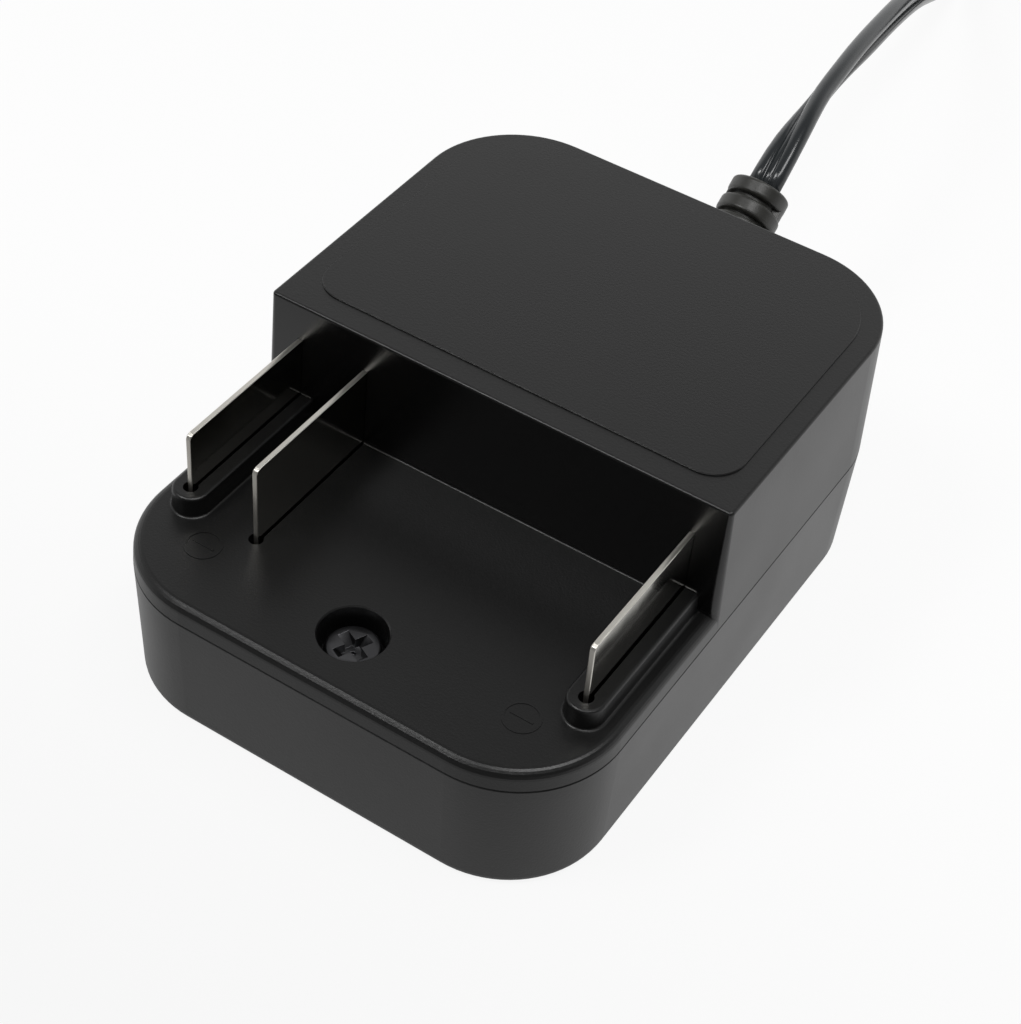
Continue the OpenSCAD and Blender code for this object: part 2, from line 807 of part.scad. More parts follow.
module coil_section() {
    ease = 1;
    translate([coil_in, 0])
        polygon([[ease, 0], [coil_out - coil_in - ease, 0], [coil_out - coil_in, ease],
                 [coil_out - coil_in, coil_h - ease], [coil_out - coil_in - ease, coil_h],
                 [ease, coil_h], [0, coil_h - ease], [0, ease]]);
}

// Where the run comes into the coil and the tail leaves it
module coil_notches() {
    side = coil_at[0] - coil_out;
    inner = route[len(route) - 1][0] + cord_w / 2 + 0.1;
    reach = 20;
    translate([side - cord_w, coil_at[1] - reach, -1])
        cube([inner - side + cord_w, reach, cord_w + 1.05]);
    translate([side - cord_w, coil_at[1], cord_w - 0.05])
        cube([inner - side + cord_w, reach, cord_w + 1]);
}

module tie_outside(grow) {
    translate([coil_at[0], coil_at[1], 0])
        rotate([0, 0, tie_turn])
            translate([coil_in - grow, -tie_w / 2, 0])
                cube([coil_out - coil_in + 2 * grow, tie_w, coil_h]);
}

module cord_coil() color("#2a2a2c")
    difference() {
        translate([coil_at[0], coil_at[1], 0])
            rotate_extrude()
                coil_section();
        coil_notches();
        // the turns are drawn together under the tie
        difference() {
            tie_outside(5);
            tie_core();
        }
    }

// What the tie holds
module tie_core() {
    translate([coil_at[0], coil_at[1], tie_t])
        rotate([0, 0, tie_turn])
            translate([coil_in + 0.6, -tie_w, 0])
                cube([coil_out - coil_in - 1.2, 2 * tie_w, coil_h - 2 * tie_t]);
}

module coil_tie() color("#111112")
    difference() {
        tie_outside(-0.6 + tie_t);
        tie_core();
    }

module plug_grip() color("#1b1b1c")
    translate(plug_at)
        rotate([0, 90, 0])
            difference() {
                union() {
                    cylinder(r1 = 2.9, r2 = 3.8, h = plug_tail + 1);
                    translate([0, 0, plug_tail])
                        rotate_extrude()
                            polygon(concat([[0, 0]],
                                           [for (i = [0:5]) let (a = 90 * i / 5)
                                               [3.6 + (grip_r - 3.6) * sin(a), 3 - 3 * cos(a)]],
                                           [[grip_r, grip_l - 0.6], [grip_r - 0.6, grip_l],
                                            [0, grip_l]]));
                }
                // finger grooves
                for (i = [0:4])
                    translate([0, 0, plug_tail + 7 + 2.4 * i])
                        rotate_extrude()
                            polygon([[grip_r - 0.5, 0], [grip_r + 1, -0.5],
                                     [grip_r + 1, 1.7], [grip_r - 0.5, 1.2]]);
            }

// A tube on the plug's axis, open at its far end from a floor of its own
module plug_tube(outer, inner, length, base) {
    translate([plug_at[0] + plug_tail + grip_l, plug_at[1], plug_at[2]])
        rotate([0, 90, 0])
            difference() {
                cylinder(r = outer, h = length);
                translate([0, 0, base])
                    cylinder(r = inner, h = length - base + 1);
            }
}

module plug_sleeve() color("#c7c8ca")
    plug_tube(sleeve_r, insulator_r, sleeve_l, -1);

module plug_insulator() color("#101011")
    plug_tube(insulator_r, contact_r, sleeve_l, -1);

module plug_contact() color("#c7c8ca")
    plug_tube(contact_r, pin_r, sleeve_l - 0.8, 0.8);

lower_shell();
upper_shell();
left_power_blade();
signal_blade();
right_power_blade();
housing_screw();
circuit_board();
board_screws();
capacitor();
power_diode();
fuse();
sense_resistor();
pull_up_resistor();
charge_chip();
positive_wire();
negative_wire();
strain_relief();
cord_run();
cord_coil();
cord_tail();
coil_tie();
plug_grip();
plug_sleeve();
plug_insulator();
plug_contact();
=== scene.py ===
# %% [markdown]
# # A battery charging dock, dressed for its picture
# The dock's hard parts come from an exact CAD model and are loaded as a fixed
# frame. The steps below set up the camera, make the soft and fine pieces that
# the solids leave out, and give each surface the finish of the real one.

import math

import bmesh
import bpy
from mathutils import Matrix, Vector


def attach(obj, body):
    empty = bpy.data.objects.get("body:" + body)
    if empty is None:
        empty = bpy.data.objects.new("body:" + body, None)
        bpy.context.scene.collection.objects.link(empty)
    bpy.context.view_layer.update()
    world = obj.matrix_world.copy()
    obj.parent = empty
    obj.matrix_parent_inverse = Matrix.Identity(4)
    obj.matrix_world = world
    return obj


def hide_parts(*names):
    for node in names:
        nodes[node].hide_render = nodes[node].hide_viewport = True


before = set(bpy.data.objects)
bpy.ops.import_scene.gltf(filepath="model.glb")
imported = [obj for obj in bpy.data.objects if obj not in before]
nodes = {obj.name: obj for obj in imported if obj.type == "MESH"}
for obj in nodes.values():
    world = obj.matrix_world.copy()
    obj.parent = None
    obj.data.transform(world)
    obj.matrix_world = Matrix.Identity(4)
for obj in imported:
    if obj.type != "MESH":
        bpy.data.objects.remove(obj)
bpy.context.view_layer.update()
MM = 0.001
print("CAD pieces:", len(nodes))

# %% [markdown]
# ## The camera
# A product picture of a thing this small is taken from about 30 cm away with a
# long lens, a little from the right and from above. The roll is the small tilt
# of a camera that is held by hand. The camera's three directions are worked out
# first and make up its turn, because a constraint that tracks a target leaves
# no room for the roll.

# %% Camera
# The picture's width and the focal length, both in pixels.
FRAME_W = 1021
FOCAL_PX = 2249.985
SENSOR_W = 36
TARGET = Vector((-5.907, 10.67, 0.0)) * MM
DISTANCE = 276.469 * MM
# In radians: round from straight in front, up from level, and tilted.
AZIMUTH, ELEVATION, ROLL = 0.509939, 0.779211, 0.093143
CLIP_START = 0.005


def add_object(name, data):
    """A new object in the scene that holds this mesh, camera or lamp."""
    added = bpy.data.objects.new(name, data)
    bpy.context.scene.collection.objects.link(added)
    return added


to_camera = Vector((
    math.cos(ELEVATION) * math.sin(AZIMUTH),
    -math.cos(ELEVATION) * math.cos(AZIMUTH),
    math.sin(ELEVATION),
))
level_right = Vector((0, 0, 1)).cross(to_camera).normalized()
level_up = to_camera.cross(level_right)
right = math.cos(ROLL) * level_right + math.sin(ROLL) * level_up
up = -math.sin(ROLL) * level_right + math.cos(ROLL) * level_up

camera_data = bpy.data.cameras.new("camera")
camera = add_object("camera", camera_data)
turn = Matrix((right, up, to_camera)).transposed().to_4x4()
camera.matrix_world = Matrix.Translation(TARGET + DISTANCE * to_camera) @ turn
camera_data.sensor_fit = "HORIZONTAL"
camera_data.sensor_width = SENSOR_W
camera_data.lens = FOCAL_PX / FRAME_W * SENSOR_W
camera_data.clip_start = CLIP_START
bpy.context.scene.camera = camera
print("lens", round(camera_data.lens, 2), "mm, from", round(DISTANCE / MM), "mm away")

# %% [markdown]
# ## The lead
# The lead is a flat twin cord: two round cores with a thin rib of vinyl between
# them. It leaves the strain relief lying flat, turns on its edge, arches down to
# the table and is wound into a neat coil outside the picture. A curve object
# can't hold the flat section's turning well, so the section is carried along the
# route ring by ring. Its lengths are in millimetres until a mesh is made.

# %% Where the lead leaves the strain relief
CORD_W, CORD_T = 4.5, 2.4
# The relief starts at the back wall and bends up, from DIP to TIP degrees.
BACK_Y, JOINT_Z = 39, 16.2
RELIEF_L, DIP, TIP = 20.4, 8.0, 38.0
# Its first ring stands off the wall, and a ring takes this share of its pitch.
RELIEF_RINGS, WALL_GAP, RING_SHARE = 7, 0.8, 0.71


def relief_point(s):
    """Middle and direction of the strain relief, s mm outside the wall."""
    dip = math.radians(DIP)
    bend = math.radians(TIP - DIP) / RELIEF_L
    slope = dip + bend * s
    return Vector((
        0,
        BACK_Y + (math.sin(slope) - math.sin(dip)) / bend,
        JOINT_Z + (math.cos(dip) - math.cos(slope)) / bend,
    )), Vector((0, math.cos(slope), math.sin(slope)))


pitch = (RELIEF_L - WALL_GAP) / (RELIEF_RINGS - 1 + RING_SHARE)
ring_at, ring_way = relief_point((RELIEF_RINGS - 1) * pitch + WALL_GAP)
exit_point = ring_at + RING_SHARE * pitch * ring_way
print("lead leaves at", [round(c, 2) for c in exit_point])

# %% Points of the lead's route
# A cord that lies on its edge has its middle this high.
LIE = CORD_W / 2
GRIP_R = 5.0
run = [exit_point] + [Vector(p) for p in (
    (-0.4, 65.2, 27.3), (-1.3, 74.6, 28.3), (-1.9, 83.1, 28.5), (-2.5, 92, 27.9),
    (-3.5, 102.5, 26.4), (-5, 114, 23.2), (-6.7, 125.1, 18.5),
    (-8.6, 137, 13.2), (-11, 148, 8), (-13.4, 159, 4.4),
    (-15.6, 169.5, LIE + 0.3), (-17.4, 180, LIE), (-18, 190, LIE),
    (-18, 201, LIE),
)]
tail = [Vector(p) for p in (
    (-20.5, 201, 3 * LIE), (-20.5, 209, 3 * LIE), (-20, 217.5, 3 * LIE - 0.5),
    (-17.8, 225.5, 6), (-13.2, 232, GRIP_R + 0.4), (-7, 236, GRIP_R + 0.1),
    (0, 237.5, GRIP_R), (2.5, 237.5, GRIP_R),
)]
print("points set by hand:", len(run) - 1 + len(tail))

# %% A smooth line through the points
STEP = 2.5


def smooth_line(points, first, last=None):
    """Points every STEP mm on a smooth curve through the given ones.

    first is the step into the first point and last the step out of the last
    one. Without last the curve runs straight out.
    """
    out = []
    after = 2 * points[-1] - points[-2] if last is None else points[-1] + last
    line = [points[0] - first] + points + [after]
    for i in range(1, len(line) - 2):
        a, b, c, d = line[i - 1:i + 3]
        count = max(2, round((c - b).length / STEP))
        for j in range(count):
            t = j / count
            out.append(0.5 * (2 * b + (c - a) * t
                              + (2 * a - 5 * b + 4 * c - d) * t * t
                              + (3 * b - a - 3 * c + d) * t ** 3))
    return out + [points[-1]]


way_out = ring_way * (run[1] - run[0]).length
run_line = smooth_line(run, first=way_out, last=Vector((0, 11, 0)))
tail_line = smooth_line(tail, first=Vector((0, 8, 0)))
print("run", len(run_line), "and tail", len(tail_line), "points")

# %% The coil between them, and the whole lead
COIL_AT = Vector((12, 201, 0))
COLUMNS = [30, 27.5, 25]
SPACING = COLUMNS[0] - COLUMNS[1]
COIL_STEP = 6
# Bearings in degrees: where a turn starts, and how long it takes to step over.
COIL_START, CROSSING = 180, 70
# The strap lies under the coil at this bearing and lifts each turn by LIFT mm.
STRAP_AT = 40
LIFT, LIFT_HALF, LIFT_FADE = 0.85, 11, 25


def ease(t):
    """A smooth step from 0 to 1."""
    t = min(1, max(0, t))
    return t * t * (3 - 2 * t)


def coil_line():
    """Three turns inwards on the table, then three outwards on top of them."""
    places = [(r, LIE) for r in COLUMNS] + [(r, 3 * LIE) for r in reversed(COLUMNS)]
    places.append((COLUMNS[0] + SPACING, 3 * LIE))
    out = []
    for (r0, z0), (r1, z1) in zip(places, places[1:]):
        for a in range(0, 360, COIL_STEP):
            shift = ease((a - 360 + CROSSING) / CROSSING)
            r, z = r0 + (r1 - r0) * shift, z0 + (z1 - z0) * shift
            bearing = COIL_START - a
            off = abs((bearing - STRAP_AT + 180) % 360 - 180)
            z += LIFT * (1 - ease((off - LIFT_HALF) / LIFT_FADE))
            turned = math.radians(bearing)
            out.append(COIL_AT + Vector((r * math.cos(turned), r * math.sin(turned), z)))
    return out


lead_line = run_line[:-1] + coil_line() + tail_line
lead_length = sum((b - a).length for a, b in zip(lead_line, lead_line[1:]))
print("lead", round(lead_length), "mm in", len(lead_line), "rings")

# %% [markdown]
# The section is drawn once, as half an outline that is mirrored: a core, the
# groove beside it, and half of the flat rib. The twist is given by distance
# along the lead, because that is how it looks in the hand.

# %% Section and twist of the lead
CORE_R, CORE_X = 1.17, 1.08
GROOVE_X, GROOVE_Y = 0.44, 0.62
RIB_X, RIB_H = 0.34, 0.76
# Degrees round a core, from its outermost line to where the groove begins.
CORE_ARC, ARC_STEP = 117, 13


def lead_section():
    """Outline of the flat cord: (along its width, along its thickness)."""
    top = [(CORE_X + CORE_R * math.cos(math.radians(a)),
            CORE_R * math.sin(math.radians(a)))
           for a in range(0, CORE_ARC + 1, ARC_STEP)]
    top += [(GROOVE_X, GROOVE_Y), (RIB_X, RIB_H), (0, RIB_H)]
    left = [(-x, y) for x, y in reversed(top[:-1])]
    upper = top + left
    return upper + [(x, -y) for x, y in reversed(upper[1:-1])]


# How far it has turned: (mm from the exit, degrees from flat).
TWIST = [(0, 0), (20, 70), (36, 88), (60, 90), (95, 90)]


def twist_at(s):
    """How far the cord has turned from flat, in degrees, s mm from its exit."""
    for (s0, a0), (s1, a1) in zip(TWIST, TWIST[1:]):
        if s < s1:
            return a0 + (a1 - a0) * ease((s - s0) / (s1 - s0))
    return TWIST[-1][1]


section = lead_section()
print("lead section has", len(section), "points")

# %% Sweep the lead
def sweep(name, line, outline, twist):
    """A closed tube: the outline in millimetres, carried along the line."""
    mesh = bpy.data.meshes.new(name)
    bm = bmesh.new()
    rings, s = [], 0.0
    for i, p in enumerate(line):
        way = (line[min(i + 1, len(line) - 1)] - line[max(i - 1, 0)]).normalized()
        s += (p - line[i - 1]).length if i else 0
        side = way.cross(Vector((0, 0, 1))).normalized()
        rise = side.cross(way)
        a = math.radians(twist(s))
        wide = math.cos(a) * side + math.sin(a) * rise
        thick = wide.cross(way)
        rings.append([bm.verts.new((p + u * wide + v * thick) * MM)
                      for u, v in outline])
    for one, two in zip(rings, rings[1:]):
        for j in range(len(outline)):
            k = (j + 1) % len(outline)
            bm.faces.new((one[j], one[k], two[k], two[j])).smooth = True
    bm.faces.new(rings[0])
    bm.faces.new(list(reversed(rings[-1])))
    bmesh.ops.recalc_face_normals(bm, faces=bm.faces)
    bm.to_mesh(mesh)
    bm.free()
    return add_object(name, mesh)


lead = sweep("flat_twin_lead", lead_line, section, twist_at)
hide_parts("cord_run", "cord_coil", "cord_tail")
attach(lead, "root")
print("lead mesh:", len(lead.data.polygons), "faces")

# %% [markdown]
# ## Stamped and headed metal
# A stamped blade has burnished edges that round over a tenth of a millimetre,
# and a screw's head is rounded by its tumbling. The sharp solids can't catch
# that light. A material could fake the rounding, but an exported mesh would
# lose it, so each gets a welded copy whose edges are eased.

# %% Helpers that finish a piece by hand
def select_only(*pieces):
    """Select these pieces, and make the last of them the active one."""
    bpy.ops.object.select_all(action="DESELECT")
    for piece in pieces:
        piece.select_set(True)
    bpy.context.view_layer.objects.active = pieces[-1]


def apply_modifier(piece, kind, **settings):
    """Give the active piece a modifier and make it part of the mesh."""
    modifier = piece.modifiers.new(kind.lower(), kind)
    for key, value in settings.items():
        setattr(modifier, key, value)
    bpy.ops.object.modifier_apply(modifier=modifier.name)


print("helpers:", select_only.__name__, "and", apply_modifier.__name__)

# %% Eased copies
# Corners this close, in metres, are one corner.
WELD = 1e-6
# Degrees between two faces: of a seam that is dissolved, of the least edge that
# is eased, and of the least edge that isn't shaded smooth.
SEAM, EDGE, SHARP = 1, 28, 32


def eased(name, width, segments):
    """A copy of a CAD piece with its edges rounded by width mm."""
    mesh = nodes[name].data.copy()
    bm = bmesh.new()
    bm.from_mesh(mesh)
    bmesh.ops.remove_doubles(bm, verts=bm.verts, dist=WELD)
    bmesh.ops.dissolve_limit(bm, angle_limit=math.radians(SEAM), verts=bm.verts,
                             edges=bm.edges)
    bm.to_mesh(mesh)
    bm.free()
    piece = add_object("eased_" + name, mesh)
    select_only(piece)
    bpy.ops.object.shade_smooth_by_angle(angle=math.radians(SHARP))
    apply_modifier(piece, "BEVEL", width=width * MM, segments=segments,
                   limit_method="ANGLE", angle_limit=math.radians(EDGE),
                   harden_normals=True)
    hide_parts(name)
    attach(piece, "root")
    return piece


blades = [eased(n, 0.12, 3)
          for n in ("left_power_blade", "signal_blade", "right_power_blade")]
screw = eased("housing_screw", 0.09, 2)
print("eased", [(p.name, len(p.data.polygons)) for p in blades + [screw]])

# %% [markdown]
# ## The strap round the coil
# The spare lead is held by a woven hook-and-loop strap. It starts as a block
# the size of the bundle. The block's long edges are rounded and its ends are
# taken off, which leaves a band that then gets its thickness. A second, short
# piece is the end of the strap, pressed down on the band. Both are made on the
# right of a coil round the origin, and go to their place as one.

# %% Block that the band is made from
STRAP_W, STRAP_T = 9.0, 0.8
# The bundle: two cords high and three turns wide, with a little slack.
SLACK = 0.1
BUNDLE_LOW, BUNDLE_HIGH = STRAP_T, STRAP_T + 2 * CORD_W + SLACK
BUNDLE_R, BUNDLE_D = COLUMNS[1], 2 * SPACING + CORD_T + SLACK


def strap_block(name, size, place):
    """A block in the strap's own directions: outwards, along its width, up."""
    bpy.ops.object.select_all(action="DESELECT")
    bpy.ops.mesh.primitive_cube_add(size=1, location=(0, 0, 0))
    piece = bpy.context.object
    piece.name = name
    piece.data.transform(Matrix.Diagonal([c * MM for c in size] + [1]))
    piece.data.transform(Matrix.Translation(Vector(place) * MM))
    return piece


middle = (BUNDLE_LOW + BUNDLE_HIGH) / 2
band = strap_block("coil_strap", (BUNDLE_D, STRAP_W, BUNDLE_HIGH - BUNDLE_LOW),
                   (BUNDLE_R, 0, middle))
print("bundle", round(BUNDLE_D, 1), "by", round(BUNDLE_HIGH - BUNDLE_LOW, 1), "mm")

# %% Band
BAND_CORNER, BAND_EDGE = 1.7, 0.2
bpy.ops.object.mode_set(mode="EDIT")
bpy.ops.mesh.select_all(action="DESELECT")
bm = bmesh.from_edit_mesh(band.data)
for edge in bm.edges:
    a, b = edge.verts
    edge.select = abs(a.co.y - b.co.y) > STRAP_W * MM / 2
bm.select_flush_mode()
bmesh.update_edit_mesh(band.data)
bpy.ops.mesh.bevel(offset=BAND_CORNER * MM, segments=6)
bm = bmesh.from_edit_mesh(band.data)
for face in bm.faces:
    face.select = abs(face.normal.y) > 0.9
bmesh.update_edit_mesh(band.data)
bpy.ops.mesh.delete(type="ONLY_FACE")
bpy.ops.object.mode_set(mode="OBJECT")
apply_modifier(band, "SOLIDIFY", thickness=STRAP_T * MM, offset=1)
apply_modifier(band, "BEVEL", width=BAND_EDGE * MM, segments=2)
print("band:", len(band.data.polygons), "faces")

# %% Loose end of the strap
LONGER, NARROWER, FLAP_EDGE = 0.6, 0.3, 0.25
# Its tip goes over the bundle's corner and then down its side.
OVER_CORNER, DOWN_SIDE = (1.0, 0, -0.5), (0.35, 0, -4.5)
flap_z = BUNDLE_HIGH + STRAP_T * 1.5
flap = strap_block("strap_end", (BUNDLE_D + LONGER, STRAP_W - NARROWER, STRAP_T),
                   (BUNDLE_R + LONGER / 2, 0, flap_z))
bpy.ops.object.mode_set(mode="EDIT")
bpy.ops.mesh.select_all(action="DESELECT")
bm = bmesh.from_edit_mesh(flap.data)
for face in bm.faces:
    face.select = face.normal.x > 0.9
bmesh.update_edit_mesh(flap.data)
for move in (OVER_CORNER, DOWN_SIDE):
    bpy.ops.mesh.extrude_region_move(
        TRANSFORM_OT_translate={"value": [c * MM for c in move]})
bpy.ops.object.mode_set(mode="OBJECT")
apply_modifier(flap, "BEVEL", width=FLAP_EDGE * MM, segments=3)
print("loose end:", len(flap.data.polygons), "faces")

# %% One strap, round the coil
# A fold of more degrees than this isn't shaded smooth.
FOLD = 35
select_only(flap, band)
bpy.ops.object.join()
strap = bpy.context.object
turn_by = Matrix.Rotation(math.radians(STRAP_AT), 4, "Z")
strap.data.transform(Matrix.Translation(COIL_AT * MM) @ turn_by)
bpy.ops.object.shade_smooth_by_angle(angle=math.radians(FOLD))
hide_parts("coil_tie")
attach(strap, "root")
print("strap:", len(strap.data.polygons), "faces")

# %% [markdown]
# The lead is 1.22 m of flat cord with a plug on its end.

# %% [markdown]
# ## Tools for the materials
# Colours are written as the hex values that a picture shows, so one function
# turns them into the linear values that a shader adds up. One more adds a node,
# sets it and wires it, so that a material reads as a list of its nodes. All
# patterns are noise on a piece's own coordinates, with sizes in millimetres: an
# image would need each piece unwrapped.

# %% Colour and node helpers
def linear(code):
    """sRGB hex to a linear colour."""
    parts = [int(code[i:i + 2], 16) / 255 for i in (1, 3, 5)]
    return [c / 12.92 if c <= 0.04045 else ((c + 0.055) / 1.055) ** 2.4
            for c in parts] + [1.0]


def new_material(name, **sockets):
    """A material whose Principled shader has these values."""
    material = bpy.data.materials.new(name)
    material.use_nodes = True
    shader = material.node_tree.nodes["Principled BSDF"]
    for socket, value in sockets.items():
        shader.inputs[socket.replace("_", " ")].default_value = value
    return material, material.node_tree, shader


def add_node(tree, kind, inputs=(), **settings):
    """A node with its settings; inputs are (its input, an output or a value)."""
    node = tree.nodes.new("ShaderNode" + kind)
    for name, value in settings.items():
        if hasattr(node, name):
            setattr(node, name, value)
        else:
            node.inputs[name.replace("_", " ")].default_value = value
    for socket, source in inputs:
        if isinstance(source, bpy.types.NodeSocket):
            tree.links.new(source, node.inputs[socket])
        else:
            node.inputs[socket].default_value = source
    return node


def per_mm(size_mm):
    """Noise scale on Object coordinates for features of this size."""
    return 1 / (size_mm * MM)


print("a mid grey is", [round(c, 3) for c in linear("#808080")[:3]])

# %% [markdown]
# ## Black ABS for the shells
# The shells are moulded in black ABS. Their outer faces are spark-eroded in the
# mould, which leaves a fine even grain that breaks up the gloss. The grain is
# really about 0.1 mm; it is drawn at 0.3 mm so that it shows. The front of the
# block is left polished by the mould, so it stays almost mirror-dark. A second
# material would need that face picked out of the mesh, so a mask by place
# changes the one material there.

# %% Mask of the polished front
BLOCK_FRONT_Y, FRONT_REACH, FRONT_FOOT_Z = -6.45, 0.4, 19.3


def block_front(tree, place):
    """1 on the front of the block, and 0 elsewhere."""
    split = add_node(tree, "SeparateXYZ", [("Vector", place)])
    near = add_node(tree, "Math", [(0, split.outputs["Y"]), (1, BLOCK_FRONT_Y * MM),
                                   (2, FRONT_REACH * MM)], operation="COMPARE")
    above = add_node(tree, "Math", [(0, split.outputs["Z"]), (1, FRONT_FOOT_Z * MM)],
                     operation="GREATER_THAN")
    mask = add_node(tree, "Math", [(0, near.outputs[0]), (1, above.outputs[0])],
                    operation="MULTIPLY")
    return mask.outputs[0]


print("polished front at Y", BLOCK_FRONT_Y, "mm, above", FRONT_FOOT_Z, "mm")

# %% Moulded ABS
ABS_BLACK, ABS_ROUGH = "#080808", 0.36
CLOUD_MM = 14
GRAIN_MM, GRAIN_DEPTH, GRAIN_STRENGTH = 0.3, 0.05, 0.35
# On the polished front: a share of the roughness, and a weaker grain.
POLISH, POLISHED_STRENGTH = 0.7, 0.15


def moulded_abs(name, polished_front):
    """Black ABS with its grain, and with a polished block front or without."""
    material, tree, shader = new_material(
        name, Base_Color=linear(ABS_BLACK), IOR=1.5)
    place = add_node(tree, "TexCoord").outputs["Object"]
    cloud = add_node(tree, "TexNoise", [("Vector", place)],
                     Scale=per_mm(CLOUD_MM), Detail=3.0, Roughness=0.55)
    grain = add_node(tree, "TexNoise", [("Vector", place)],
                     Scale=per_mm(GRAIN_MM), Detail=2.0, Roughness=0.6)
    rub = add_node(tree, "MapRange", [("Value", cloud.outputs["Fac"])],
                   To_Min=ABS_ROUGH - 0.04, To_Max=ABS_ROUGH + 0.05)
    bump = add_node(tree, "Bump", [("Height", grain.outputs["Fac"])],
                    Distance=GRAIN_DEPTH * MM, Strength=GRAIN_STRENGTH)
    roughness = rub.outputs["Result"]
    if polished_front:
        mask = block_front(tree, place)
        polish = add_node(tree, "MapRange", [("Value", mask)],
                          To_Min=1.0, To_Max=POLISH)
        polished = add_node(tree, "Math", [(0, roughness),
                                           (1, polish.outputs["Result"])],
                            operation="MULTIPLY")
        roughness = polished.outputs[0]
        strength = add_node(tree, "MapRange", [("Value", mask)],
                            To_Min=GRAIN_STRENGTH, To_Max=POLISHED_STRENGTH)
        tree.links.new(strength.outputs["Result"], bump.inputs["Strength"])
    tree.links.new(roughness, shader.inputs["Roughness"])
    tree.links.new(bump.outputs["Normal"], shader.inputs["Normal"])
    return material


abs_upper = moulded_abs("black_abs_spark_eroded", polished_front=True)
abs_lower = moulded_abs("black_abs_lower_shell", polished_front=False)
print("made", abs_upper.name, "and", abs_lower.name)

# %% [markdown]
# ## Metals
# The contact blades are stamped from nickel-plated strip: the faces keep the
# fine lines of the rolling and mirror the dark shelf, and the sheared edges are
# rougher. The edges are also given a paler colour than the faces, a painted
# highlight, so that they stay bright from all sides. The screw is steel with a
# black oxide, which is thin, so that its head still shines a little. The metals
# differ in colour, gloss and the size of their lines, so one function makes
# them all.

# %% Metals
# The lines are this many times as long, along Y, as they are wide.
LINE_STRETCH = 25
LINE_DEPTH, SMEAR_MM = 0.02, 5


def rolled_metal(name, colour, rough, line_mm, strength):
    """Metal with fine lines along Y, and smears that change its gloss."""
    material, tree, shader = new_material(
        name, Base_Color=linear(colour), Metallic=1.0)
    place = add_node(tree, "TexCoord").outputs["Object"]
    stretch = add_node(tree, "Mapping", [("Vector", place),
                                         ("Scale", (1, 1 / LINE_STRETCH, 1))])
    lines = add_node(tree, "TexNoise", [("Vector", stretch.outputs["Vector"])],
                     Scale=per_mm(line_mm), Detail=4.0)
    smear = add_node(tree, "TexNoise", [("Vector", place)],
                     Scale=per_mm(SMEAR_MM), Detail=3.0)
    tone = add_node(tree, "MapRange", [("Value", smear.outputs["Fac"])],
                    To_Min=rough - 0.06, To_Max=rough + 0.1)
    tree.links.new(tone.outputs["Result"], shader.inputs["Roughness"])
    bump = add_node(tree, "Bump", [("Height", lines.outputs["Fac"])],
                    Distance=LINE_DEPTH * MM, Strength=strength)
    tree.links.new(bump.outputs["Normal"], shader.inputs["Normal"])
    return material


# Plated faces are smooth enough to mirror the dark shelf.
nickel = rolled_metal("nickel_plated_strip", "#b4b2ab", 0.1, 0.3, 0.03)
# Sheared edges are rougher and scatter the light; their paler colour is a painted
# highlight, so they are pale from every side.
sheared_edge_highlight = rolled_metal("sheared_edge_painted_highlight", "#dedbd3", 0.34, 0.2, 0.25)
# The two kinds of screw, and the turned sleeve and contact of the plug.
oxide = rolled_metal("black_oxide_steel", "#5c5c5e", 0.34, 0.3, 0.2)
zinc = rolled_metal("zinc_plated_steel", "#c4c6c8", 0.3, 0.3, 0.2)
plug_nickel = rolled_metal("turned_nickel_plate", "#dadada", 0.16, 0.3, 0.1)
print("metals:", [m.name for m in (nickel, sheared_edge_highlight, oxide, zinc, plug_nickel)])

# %% [markdown]
# ## Vinyl, board and components
# Soft vinyl has a satin skin with a slight waviness. The components inside are
# hidden, but they get their real finishes too. They differ from vinyl only in
# colour, gloss and waviness, so they share its function.

# %% Vinyl and woven nylon
WAVE_DEPTH = 0.04


def soft_skin(name, colour, rough, wave_mm, strength, **more):
    """A plastic or coating whose surface waves gently, at the given size."""
    material, tree, shader = new_material(name, Base_Color=linear(colour), **more)
    place = add_node(tree, "TexCoord").outputs["Object"]
    wave = add_node(tree, "TexNoise", [("Vector", place)], Scale=per_mm(wave_mm),
                    Detail=3.0)
    tone = add_node(tree, "MapRange", [("Value", wave.outputs["Fac"])],
                    To_Min=rough - 0.05, To_Max=rough + 0.06)
    tree.links.new(tone.outputs["Result"], shader.inputs["Roughness"])
    bump = add_node(tree, "Bump", [("Height", wave.outputs["Fac"])],
                    Distance=WAVE_DEPTH * MM, Strength=strength)
    tree.links.new(bump.outputs["Normal"], shader.inputs["Normal"])
    return material


# The cord is extruded and glossy; the boot is moulded, duller and a bit warmer.
vinyl = soft_skin("black_vinyl_cord", "#2a2d2f", 0.2, 1.2, 0.12, IOR=1.54)
boot_vinyl = soft_skin("moulded_vinyl_boot", "#2c2c29", 0.4, 0.4, 0.35, IOR=1.54)
strap_weave = soft_skin("woven_nylon_strap", "#121213", 0.75, 0.35, 0.9)
print("soft skins:", vinyl.name, boot_vinyl.name, strap_weave.name)

# %% Finishes inside the housing
solder_mask = soft_skin("green_solder_mask", "#1f5a33", 0.32, 2.0, 0.1)
sleeve_film = soft_skin("capacitor_shrink_sleeve", "#26344e", 0.28, 2.0, 0.1)
epoxy = soft_skin("moulded_epoxy", "#17171a", 0.45, 0.5, 0.2)
amber = soft_skin("amber_dip_coating", "#b9822a", 0.25, 1.5, 0.2)
tan_lacquer = soft_skin("tan_resistor_lacquer", "#b5976a", 0.35, 1.0, 0.2)
blue_lacquer = soft_skin("blue_resistor_lacquer", "#86b3cb", 0.35, 1.0, 0.2)
red_vinyl = soft_skin("red_wire_vinyl", "#b02822", 0.35, 1.0, 0.2)
black_vinyl = soft_skin("black_wire_vinyl", "#161617", 0.35, 1.0, 0.2)
print("board and components:", solder_mask.name, "and seven more")

